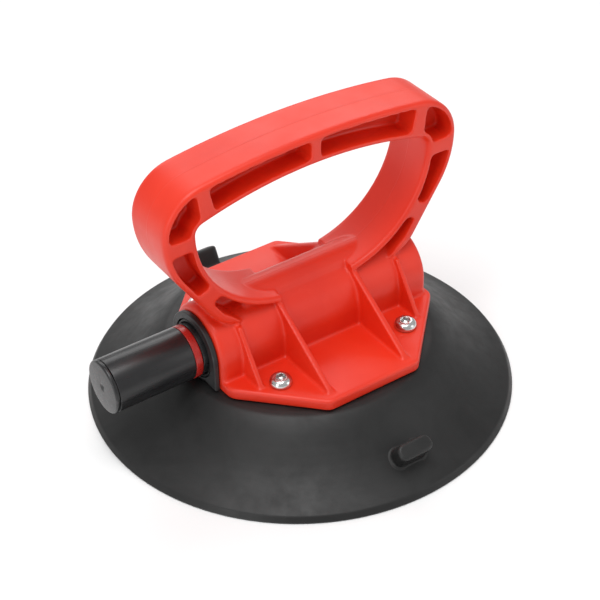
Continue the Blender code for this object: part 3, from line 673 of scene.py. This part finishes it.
def gusset(name, size, side_x, side_y):
    """A rib from the barrel down to the flange, a little thicker at its foot, as a moulded rib is."""
    x, thickness, (top_y, top_z), (end_y, end_z) = size
    low = FLANGE_BOTTOM + 0.002
    rows = []
    for face in (-1, 1):
        row = []
        for y, z, top in ((0, low, 0), (0, top_z, 1), (top_y, top_z, 1), (end_y, end_z, 1),
                          (end_y + GUSSET_NOSE, end_z - 0.0010, 0), (end_y + GUSSET_NOSE, low, 0)):
            half = thickness / 2 + (0.0 if top else 0.00035)
            row.append((LOOP_X + side_x * x + face * half, side_y * y, z))
        rows.append(row)
    return add_piece(name, loft(rows))


def handle_cuts():
    """The pump bore, the intake passage with its gasket seat, and the screw holes."""
    start = BARREL_ENDS[0] - 0.002
    cuts = [turned("pump_bore", [(start, 0), (start, BORE_RADIUS), (BORE_END, BORE_RADIUS), (BORE_END, 0)])]
    bottom = AXIS_HEIGHT - BELLY_RADIUS
    hole, wide = INTAKE_RADIUS + GAP, 0.0049
    profile = [(bottom - 0.001, 0), (bottom - 0.001, wide), (bottom + 0.0015, wide), (bottom + 0.0015, hole),
               (0.032, hole), (0.032, 0)]
    cuts.append(turned("intake_passage", profile, None, "Z", 48, (INTAKE_X, 0, 0)))
    for place in screw_places():
        hole = SCREW_SHANK_RADIUS + GAP
        profile = [(0.026, 0), (0.026, hole), (0.038, hole), (0.038, 0)]
        cuts.append(turned("screw_hole", profile, None, "Z", 40, (*place, 0)))
    return cuts


def screw_places():
    return [(LOOP_X + side_x * SCREW_X, side_y * SCREW_Y) for side_x in (-1, 1) for side_y in (-1, 1)]


def handle(look):
    body = flange()
    pieces = [barrel(), ridge(), belly(), hand_loop()]
    for label, size in (("big", BIG_GUSSET), ("small", SMALL_GUSSET)):
        for side_x in (-1, 1):
            for side_y in (-1, 1):
                pieces.append(gusset(f"{label}_gusset_{side_x}_{side_y}", size, side_x, side_y))
    combine(body, pieces, "UNION")
    combine(body, handle_cuts(), "DIFFERENCE")
    moulded(body, VOXEL, 5)
    body.data.materials.clear()
    body.data.materials.append(look)
    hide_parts("handle_body")
    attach(body, "base")


# ---------------------------------------------------------------- pad
FLANK = [(0.0275, PLATEAU_RADIUS + 0.0004), (0.0232, 0.0680), (0.0182, 0.0740), (0.0134, 0.0800),
         (0.0093, 0.0860), (0.0058, 0.0920), (0.0030, 0.0980)]


def smooth_path(points, steps):
    """A Catmull-Rom curve through the points."""
    ends = [points[0]] + list(points) + [points[-1]]
    result = []
    for k in range(1, len(ends) - 2):
        p0, p1, p2, p3 = ends[k - 1:k + 3]
        for i in range(steps):
            t = i / steps
            result.append(tuple(
                0.5 * (2 * p1[n] + (p2[n] - p0[n]) * t + (2 * p0[n] - 5 * p1[n] + 4 * p2[n] - p3[n]) * t * t
                       + (3 * p1[n] - p0[n] - 3 * p2[n] + p3[n]) * t ** 3)
                for n in range(2)))
    return result + [points[-1]]


def pad_profile():
    """Half of the pad's section as (height, radius), from the top's middle round to the ceiling's middle."""
    shoulder = [(PLATEAU_HEIGHT, PLATEAU_RADIUS - 0.0042)]
    flank = smooth_path([(0.02783, PLATEAU_RADIUS - 0.0030), (0.0272, PLATEAU_RADIUS - 0.0002),
                         (0.0256, 0.0648)] + FLANK[1:], 8)
    rim = [(0.00255, 0.09845), (0.00215, 0.0987), (0.0017, 0.0990), (0.0008, 0.09955), (0.0004, 0.0998),
           (0.00015, 0.09975), (0.0, 0.0994), (0.0, 0.0945), (0.0003, 0.0941)]
    under = smooth_path([(0.0012, 0.0930), (0.0032, 0.0870), (0.0070, 0.0790), (0.0110, 0.0700),
                         (0.0134, 0.0610), (CEILING_HEIGHT, 0.0500)], 6)
    return [(PLATEAU_HEIGHT, 0)] + shoulder + flank + rim + under + [(CEILING_HEIGHT, 0)]


def pad_cuts():
    """The recess for the backing plate and its nuts, the trough for the belly, and the intake's way down."""
    floor = PLATEAU_HEIGHT - PLATE_THICKNESS - GAP
    radii = {k: 0.004 for k in range(8)}
    outline = softened_corners(octagon(PLATE_INSET - GAP, BARREL_ENDS[0] + 0.0015), radii, 6)
    cuts = [prism("plate_recess", outline, "XY", floor, 0.034)]
    channel = BELLY_RADIUS + PLATE_THICKNESS + 2 * GAP
    troughs = ((BARREL_ENDS[0] - 0.0002, LOOP_X + FLANGE_HALF[0] - PLATE_INSET + 0.0005, channel),
               (BARREL_ENDS[0] - END_PLATE_THICKNESS - 4 * GAP, -0.050, END_PLATE_LOBE + GAP),
               (-0.082, -0.050, PLUNGER_RADIUS + 0.0006))
    for start, end, radius in troughs:
        cuts.append(turned("trough", [(start, 0), (start, radius), (end, radius), (end, 0)]))
    low = floor - NUT_HEIGHT - GAP
    for place in screw_places():
        cuts.append(turned("nut_pocket", [(low, 0), (low, 0.0063), (0.033, 0.0063), (0.033, 0)], None, "Z",
                           48, (*place, 0)))
    hole = INTAKE_RADIUS + GAP
    profile = [(0.010, 0), (0.010, 0.0085), (0.0172, 0.0085), (0.0172, hole), (0.030, hole), (0.030, 0)]
    cuts.append(turned("filter_recess", profile, None, "Z", 64, (INTAKE_X, 0, 0)))
    return cuts


def flank_point(along, angle, height):
    """A point over the flank: along it from the tab's middle outward, round the axis, and up its normal."""
    path = [(radius, z) for z, radius in smooth_path(FLANK, 8)]
    walked = 0.0
    marks = []
    for here, there in zip(path, path[1:]):
        marks.append((walked, here, there))
        walked += hypot(there[0] - here[0], there[1] - here[1])
    middle = next(mark + (TAB_PLACE - here[0]) / (there[0] - here[0])
                  * hypot(there[0] - here[0], there[1] - here[1])
                  for mark, here, there in marks if here[0] <= TAB_PLACE < there[0])
    wanted = middle + along
    mark, here, there = [item for item in marks if item[0] <= wanted][-1]
    length = hypot(there[0] - here[0], there[1] - here[1])
    run, rise = (there[0] - here[0]) / length, (there[1] - here[1]) / length
    radius = here[0] + run * (wanted - mark) - rise * height
    z = here[1] + rise * (wanted - mark) + run * height
    return radius * sin(angle), radius * cos(angle), z


def pull_tab(name, side, look):
    """A rounded block moulded on the flank, to pull the lip off the surface. Its foot flares out."""
    half_u, half_v = TAB_HALF
    top_round = 0.0015
    rows = [(-0.0006, TAB_ROOT)]
    rows += [(TAB_ROOT * (1 - cos(t)), TAB_ROOT * (1 - sin(t))) for t in (pi / 2 * i / 6 for i in range(7))]
    rows += [(TAB_ROOT + (TAB_HEIGHT - top_round - TAB_ROOT) * i / 5, 0.0) for i in range(1, 6)]
    rows += [(TAB_HEIGHT - top_round * (1 - sin(t)), -top_round * (1 - cos(t)))
             for t in (pi / 2 * i / 6 for i in range(1, 7))]
    points = []
    for height, outset in rows:
        corner = 0.0034 + outset
        box = [(half_u + outset, half_v + outset), (-half_u - outset, half_v + outset),
               (-half_u - outset, -half_v - outset), (half_u + outset, -half_v - outset)]
        outline = softened_corners(box, {k: corner for k in range(4)}, 8)
        row = []
        for u, v in outline:
            x, y, z = flank_point(v, u / TAB_PLACE, height)
            row.append((side * x, side * y, z))
        points.append(row)
    tab = add_piece(name, loft(points), look, 50)
    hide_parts("suction_pad")
    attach(tab, "base")


def pad(look):
    body = turned("rubber_pad", pad_profile(), look, "Z", 256, (0, 0, 0))
    combine(body, pad_cuts(), "DIFFERENCE")
    body.data.materials.clear()
    body.data.materials.append(look)
    body.data.shade_smooth()
    body.data.set_sharp_from_angle(angle=radians(30))
    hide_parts("suction_pad")
    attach(body, "base")
    pull_tab("pull_tab_front", -1, look)
    pull_tab("pull_tab_back", 1, look)


# ---------------------------------------------------------------- fasteners, pump and plunger
def button_screw(number, place, look):
    """A button-head screw with a rounded head, a chamfered hexagon socket and a chamfered shank end."""
    flat = SCREW_SOCKET_WIDTH * 0.68
    rise = SCREW_HEAD_HEIGHT - 0.0005
    run = SCREW_HEAD_RADIUS - flat
    profile = [(-SCREW_LENGTH, 0), (-SCREW_LENGTH, 0.0023), (-SCREW_LENGTH + 0.0007, SCREW_SHANK_RADIUS),
               (0, SCREW_SHANK_RADIUS), (0, SCREW_HEAD_RADIUS - 0.00015), (0.00015, SCREW_HEAD_RADIUS),
               (0.0005, SCREW_HEAD_RADIUS)]
    profile += [(0.0005 + rise * sin(t), flat + run * cos(t))
                for t in (radians(90) * i / 16 for i in range(1, 17))]
    profile.append((SCREW_HEAD_HEIGHT, 0))
    at = (*place, FLANGE_TOP + GAP)
    name = f"flange_screw_{number}"
    screw = turned(name + "_steel", profile, look, "Z", 72, at)
    turn = radians(11 + 37 * number)
    width = SCREW_SOCKET_WIDTH / 2 / cos(pi / 6)
    hexagon = [(place[0] + x, place[1] + y) for x, y in arc((0, 0), width, turn, turn + 2 * pi * 5 / 6, 5)]
    socket = prism("socket", hexagon, "XY", at[2] + SCREW_HEAD_HEIGHT - 0.0021, at[2] + 0.005)
    top = SCREW_HEAD_HEIGHT
    chamfer = [(top - 0.0004, 0), (top - 0.0004, 0.00190), (top + 0.0003, 0.0026), (top + 0.0003, 0)]
    mouth = turned("mouth", chamfer, None, "Z", 48, at)
    combine(screw, [socket, mouth], "DIFFERENCE")
    soft_edges(screw, 0.00009, 2, 30)
    screw.data.materials.clear()
    screw.data.materials.append(look)
    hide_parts(name)
    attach(screw, "base")


def end_plate(look):
    """The black plate that closes the bore round the plunger. It has a D-shaped face and a spigot."""
    back = BARREL_ENDS[0] - GAP
    front = back - END_PLATE_THICKNESS
    drop = AXIS_HEIGHT - END_PLATE_BOTTOM
    lean = asin(drop / END_PLATE_LOBE)
    rows = []
    for depth, inset in edge_rows(END_PLATE_THICKNESS / 2, 0.0005, 4):
        radius = END_PLATE_RADIUS - inset
        lobe = END_PLATE_LOBE - inset
        low = END_PLATE_BOTTOM + inset
        outline = arc((0, AXIS_HEIGHT), radius, 0, pi, 64) + [(-radius, low)]
        outline += arc((0, AXIS_HEIGHT), lobe, pi + lean, 2 * pi - lean, 28) + [(radius, low)]
        rows.append([((front + back) / 2 + depth, y, z) for y, z in outline])
    plate = add_piece("end_plate_black", loft(rows), look)
    end = back + SPIGOT_LENGTH
    spigot = BORE_RADIUS - GAP
    stub = [(front + 0.001, 0), (front + 0.001, spigot), (end, spigot), (end, 0)]
    combine(plate, [turned("spigot", stub)], "UNION")
    seat = front + 0.0018
    hole = PLUNGER_RADIUS + 0.0004
    profile = [(front - 0.001, 0), (front - 0.001, 0.0144), (front, 0.0144), (front + 0.0003, 0.0141),
               (seat, 0.0141), (seat, hole), (end + 0.001, hole), (end + 0.001, 0)]
    combine(plate, [turned("plate_bore", profile)], "DIFFERENCE")
    plate.data.materials.clear()
    plate.data.materials.append(look)
    plate.data.shade_smooth()
    plate.data.set_sharp_from_angle(angle=radians(35))
    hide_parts("end_plate")
    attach(plate, "base")
    return front, seat


def finished(name, profile, look, body, radii=None, axis="X", centre=(0, 0, AXIS_HEIGHT),
             steps=128):
    """A turned piece in place of the CAD node of the same job."""
    outline = softened_corners(profile, radii or {})
    piece = turned(name + "_fine", outline, look, axis, steps, centre)
    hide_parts(name)
    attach(piece, body)
    return piece


def wiper_seal(front, seat, look):
    profile = [(front + 0.0003, 0.0127), (front + 0.0003, 0.0136), (front + 0.0006, 0.0138),
               (seat - GAP, 0.0138), (seat - GAP, 0.0127)]
    finished("wiper_seal", profile, look, "base",
             {0: 0.0002, 1: 0.00012, 3: 0.0001, 4: 0.0001})


def plunger(black, red):
    inner = PLUNGER_RADIUS - PLUNGER_WALL
    start = PLUNGER_START + CAP_THICKNESS + GAP
    plug = inner - GAP
    groove = (BAND_MIDDLE - BAND_WIDTH / 2 - GAP, BAND_MIDDLE + BAND_WIDTH / 2 + GAP)
    deep = PLUNGER_RADIUS - BAND_THICKNESS - GAP
    tube = [(start, inner), (start, PLUNGER_RADIUS), (groove[0], PLUNGER_RADIUS), (groove[0], deep),
            (groove[1], deep), (groove[1], PLUNGER_RADIUS), (TUBE_END, PLUNGER_RADIUS), (TUBE_END, inner)]
    finished("plunger_tube", tube, black, "plunger",
             {0: 0.0001, 1: 0.0003, 2: 0.0002, 5: 0.0002, 6: 0.0003})
    back = PLUNGER_START + CAP_THICKNESS
    cap = [(PLUNGER_START + 0.0006, 0), (PLUNGER_START + 0.00055, 0.0006), (PLUNGER_START + 0.0003, 0.0012),
           (PLUNGER_START, 0.0022), (PLUNGER_START, PLUNGER_RADIUS), (back, PLUNGER_RADIUS), (back, plug),
           (back + CAP_PLUG, plug), (back + CAP_PLUG, 0)]
    finished("plunger_cap", cap, black, "plunger",
             {3: 0.0010, 4: 0.0009, 5: 0.0002, 7: 0.0006})
    low, high = groove[0] + GAP, groove[1] - GAP
    band = [(low, PLUNGER_RADIUS - BAND_THICKNESS), (low, PLUNGER_RADIUS), (high, PLUNGER_RADIUS),
            (high, PLUNGER_RADIUS - BAND_THICKNESS)]
    finished("indicator_band", band, red, "plunger", {1: 0.0003, 2: 0.0003})


def return_spring(look):
    """A round-wire coil wound round the pump's axis between its two ends."""
    rings = SPRING_TURNS * 40
    sides = 12
    start, end = SPRING_ENDS
    rows = []
    for i in range(rings + 1):
        turn = 2 * pi * SPRING_TURNS * i / rings
        outward = Vector((0, cos(turn), sin(turn)))
        centre = Vector((start + (end - start) * i / rings, 0, AXIS_HEIGHT)) + outward * SPRING_COIL_RADIUS
        angles = [2 * pi * k / sides for k in range(sides)]
        rows.append([centre + (outward * cos(a) + Vector((1, 0, 0)) * sin(a)) * SPRING_WIRE_RADIUS
                     for a in angles])
    spring = add_piece("return_spring_fine", loft(rows), look, 60)
    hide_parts("return_spring")
    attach(spring, "base")
    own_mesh(spring)


def filter_pieces(fibre, black):
    disc = [(0.0157, 0), (0.0157, 0.0078), (0.0169, 0.0078), (0.0169, 0)]
    finished("filter_disc", disc, fibre, "base", {1: 0.0003, 2: 0.0003}, "Z",
             (INTAKE_X, 0, 0), 96)
    ring = [(0.0143, 0.0050), (0.0143, 0.0082), (0.0154, 0.0082), (0.0154, 0.0050)]
    finished("filter_ring", ring, black, "base", {0: 0.0003, 1: 0.0003}, "Z",
             (INTAKE_X, 0, 0), 96)


def dress(look, *names):
    """A new material for CAD nodes that keep their own shape."""
    for name in names:
        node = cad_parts[name]
        for item in node.material_slots:
            item.material = look


# ---------------------------------------------------------------- floor, light and camera
def floor():
    mesh = bmesh.new()
    bmesh.ops.create_grid(mesh, x_segments=24, y_segments=24, size=3.0)
    bmesh.ops.translate(mesh, verts=mesh.verts, vec=(0, 0, -0.0002))
    tree, look = new_material("floor_white")
    base = colours(tree, noise(tree, 3, 3, 0.5), [(0.3, (0.93, 0.93, 0.93)), (0.7, (0.95, 0.95, 0.95))])
    finish_with(tree, base, spread(tree, noise(tree, 20, 3, 0.5), 0.55, 0.65),
                raised(tree, [(noise(tree, 400, 2, 0.5), 0.02, 0.0001)]), Specular_IOR_Level=0.2)
    add_piece("floor", mesh, look)


def lamp(name, place, aim, size, power):
    data = bpy.data.lights.new(name, "AREA")
    data.shape = "RECTANGLE"
    data.size, data.size_y = size
    data.energy = power
    light = bpy.data.objects.new(name, data)
    light.location = place
    light.rotation_euler = (Vector(aim) - Vector(place)).to_track_quat("-Z", "Y").to_euler()
    bpy.context.scene.collection.objects.link(light)


def lights():
    world = bpy.data.worlds.new("studio")
    world.use_nodes = True
    background = world.node_tree.nodes["Background"]
    background.inputs["Color"].default_value = (1.0, 1.0, 1.0, 1.0)
    background.inputs["Strength"].default_value = 0.50
    bpy.context.scene.world = world
    aim = (0, 0, 0.05)
    lamp("key_top", (-0.20, -0.15, 1.3), aim, (0.8, 0.8), 9.5)
    lamp("fill_left", (-1.1, -0.45, 0.45), aim, (0.30, 0.9), 3)
    lamp("fill_right", (0.8, -0.9, 0.5), aim, (0.5, 0.7), 1.5)
    lamp("back", (0.45, 1.0, 0.8), aim, (1.2, 0.5), 4.5)


def camera():
    """The photograph's view: the turn, tilt and roll of the camera, its distance and its lens."""
    turn, tilt, roll = radians(-33.964), radians(37.669), radians(-1.026)
    aim = Vector((0.0105, 0.0144, 0.0298))
    distance = 0.782
    back = Vector((sin(turn) * cos(tilt), -cos(turn) * cos(tilt), sin(tilt)))
    level = Vector((cos(turn), sin(turn), 0))
    upward = back.cross(level)
    right = level * cos(roll) + upward * sin(roll)
    top = upward * cos(roll) - level * sin(roll)
    data = bpy.data.cameras.new("camera")
    data.lens = 99.65
    data.sensor_width = 36
    made = bpy.data.objects.new("camera", data)
    axes = Matrix((right, top, back)).transposed().to_4x4()
    made.matrix_world = Matrix.Translation(aim + back * distance) @ axes
    bpy.context.scene.collection.objects.link(made)
    bpy.context.scene.camera = made


def main():
    red = red_moulding()
    rubber = moulded_rubber("pad_rubber_dark", (0.007, 0.007, 0.007), (0.014, 0.014, 0.014))
    seal = moulded_rubber("seal_rubber_black", (0.007, 0.007, 0.007), (0.014, 0.014, 0.014), False)
    sliding = black_plastic("plunger_black", (0.005, 0.005, 0.0055), (0.010, 0.010, 0.011), 0.24, 0.36,
                            (0.08, 1, 1))
    plate_black = black_plastic("end_plate_black", (0.0025, 0.003, 0.0035), (0.005, 0.006, 0.0065), 0.40,
                                0.54, (1, 1, 1))
    band_red = black_plastic("band_red", (0.38, 0.008, 0.004), (0.50, 0.014, 0.008), 0.20, 0.34, (1, 1, 1))
    steel = metal("screw_stainless", (0.60, 0.60, 0.60), (0.74, 0.74, 0.73), 0.17, 0.24, (1, 1, 4), 800,
                  0.02)
    zinc = metal("zinc_plate", (0.42, 0.43, 0.44), (0.60, 0.61, 0.62), 0.26, 0.42, (0.2, 1, 1))
    drawn_brass = metal("drawn_brass", (0.58, 0.40, 0.15), (0.72, 0.54, 0.25), 0.22, 0.36, (0.08, 1, 1))
    handle(red)
    pad(rubber)
    for number, place in enumerate(screw_places(), 1):
        button_screw(number, place, steel)
    front, seat = end_plate(plate_black)
    wiper_seal(front, seat, seal)
    plunger(sliding, band_red)
    return_spring(steel)
    filter_pieces(felt(), plate_black)
    dress(zinc, "backing_plate", "spring_seat", "piston_washer", "piston_screw",
          *(f"weld_nut_{number}" for number in range(1, 5)))
    dress(drawn_brass, "pump_cylinder", "intake_tube")
    dress(natural_plastic(), "valve_block")
    dress(plate_black, "piston_head")
    dress(seal, "intake_valve_disc", "block_o_ring", "intake_gasket", "piston_seal")
    floor()
    lights()
    camera()
    bpy.context.scene.view_settings.view_transform = "Standard"


main()
